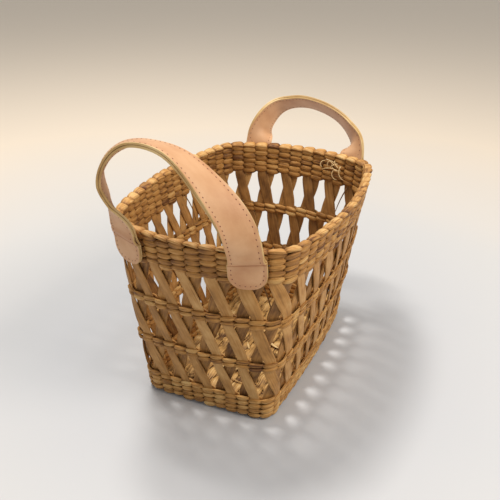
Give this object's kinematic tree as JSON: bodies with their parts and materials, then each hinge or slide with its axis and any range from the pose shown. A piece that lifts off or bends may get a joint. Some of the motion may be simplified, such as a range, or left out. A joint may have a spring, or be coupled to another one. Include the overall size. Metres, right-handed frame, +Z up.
{
  "type": "straw basket",
  "caption": "Open-work oblong straw basket, twined bands over crossed flat stakes, with a leather strap handle at each end.",
  "frame": {"origin": "middle of the underside of the base", "axes": "+X lengthwise towards the far handle, +Y towards the left long wall, +Z up"},
  "size_m": [0.3457, 0.2006, 0.2621],
  "materials": {
    "straw_weaver": "matte dried straw",
    "straw_border": "matte dried straw",
    "straw_stake": "matte dried straw",
    "straw_mat": "matte dried straw",
    "leather_face": "satin vegetable-tanned",
    "leather_lining": "matte",
    "leather_tab": "satin vegetable-tanned"
  },
  "bodies": {
    "basket": {"bottom_band_outer_weave": "straw_weaver", "bottom_band_inner_weave": "straw_weaver", "lower_fitching_outer_weave": "straw_weaver", "lower_fitching_inner_weave": "straw_weaver", "upper_fitching_outer_weave": "straw_weaver", "upper_fitching_inner_weave": "straw_weaver", "top_band_outer_weave": "straw_weaver", "top_band_inner_weave": "straw_weaver", "rim_border": "straw_border", "outer_stakes_near_wall": "straw_stake", "outer_stakes_far_wall": "straw_stake", "outer_stakes_left_wall": "straw_stake", "outer_stakes_right_wall": "straw_stake", "inner_stakes_near_wall": "straw_stake", "inner_stakes_far_wall": "straw_stake", "inner_stakes_left_wall": "straw_stake", "inner_stakes_right_wall": "straw_stake", "base_cross_strips": "straw_mat", "base_long_strips": "straw_mat", "near_handle_crease_leather": "leather_face", "near_handle_right_tab": "leather_tab", "near_handle_left_tab": "leather_tab", "far_handle_crease_leather": "leather_face", "far_handle_right_tab": "leather_tab", "far_handle_left_tab": "leather_tab"},
    "near_handle": {"near_handle_strap_leather": "leather_face", "near_handle_strap_lining": "leather_lining"},
    "far_handle": {"far_handle_strap_leather": "leather_face", "far_handle_strap_lining": "leather_lining"}
  },
  "joints": [
    {"name": "near_handle_lean", "type": "hinge", "parent": "basket", "child": "near_handle", "pos_m": [-0.13434, 0, 0.1835], "axis": [0, -1, 0], "range_deg": [-52, 98], "deforming": ["near_handle_crease_leather"]},
    {"name": "far_handle_lean", "type": "hinge", "parent": "basket", "child": "far_handle", "pos_m": [0.13434, 0, 0.1835], "axis": [0, 1, 0], "range_deg": [-80, 55], "deforming": ["far_handle_crease_leather"]}
  ]
}
